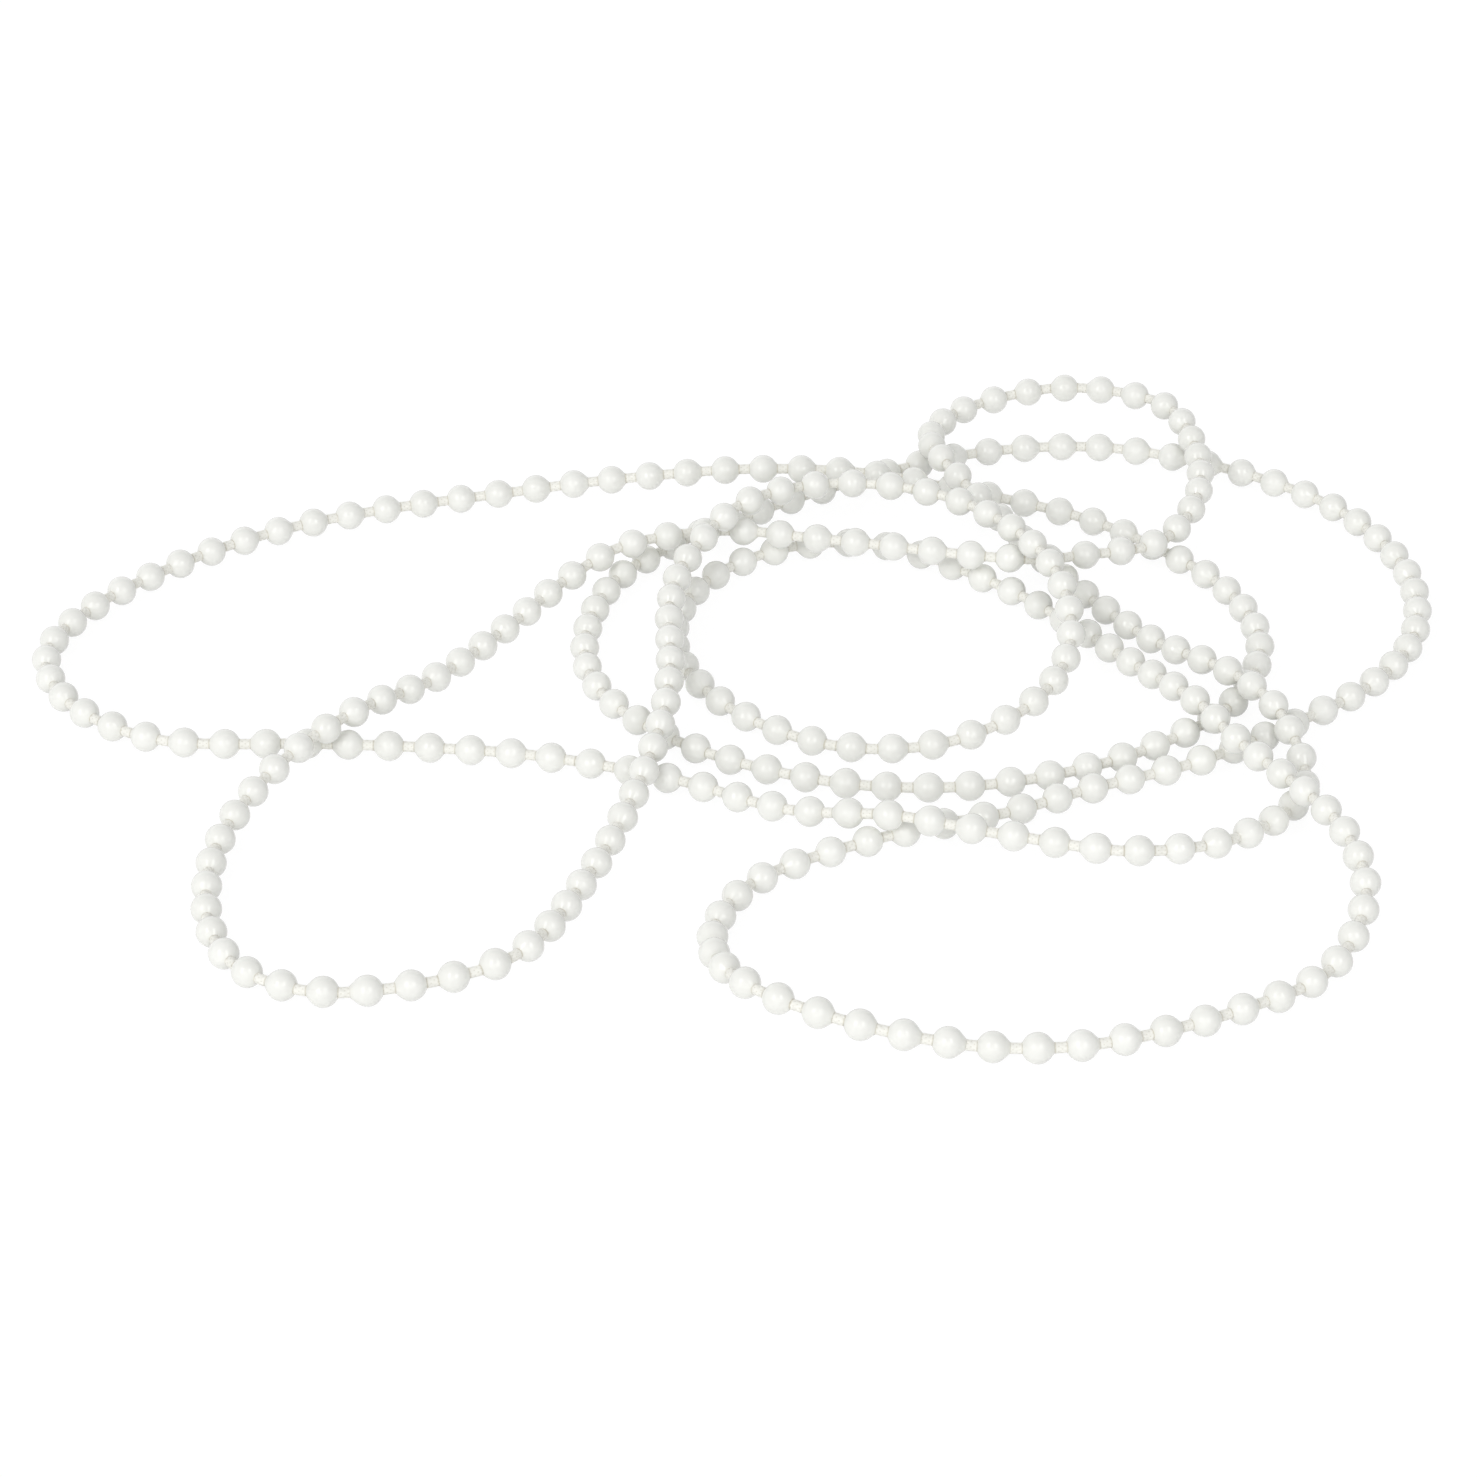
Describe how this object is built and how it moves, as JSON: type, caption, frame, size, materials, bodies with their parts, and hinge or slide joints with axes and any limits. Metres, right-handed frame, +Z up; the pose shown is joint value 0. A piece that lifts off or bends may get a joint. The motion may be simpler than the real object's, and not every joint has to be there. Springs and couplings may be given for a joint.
{
  "type": "roller blind chain",
  "caption": "Endless loop of white bead chain for working a roller blind, lying in a loose heap: round moulded beads at an even pitch on a thin cord.",
  "frame": {"origin": "centre of the heap's outline, on the surface it lies on", "axes": "+Z up; +X along the heap's longest side, to the right as the picture shows it; +Y away from the viewer"},
  "size_m": [0.2112, 0.1947, 0.0121],
  "materials": {
    "chain": "satin white moulded plastic beads on a cream-white twisted polyester cord"
  },
  "bodies": {
    "root": {"bead_chain": "chain"}
  },
  "joints": []
}
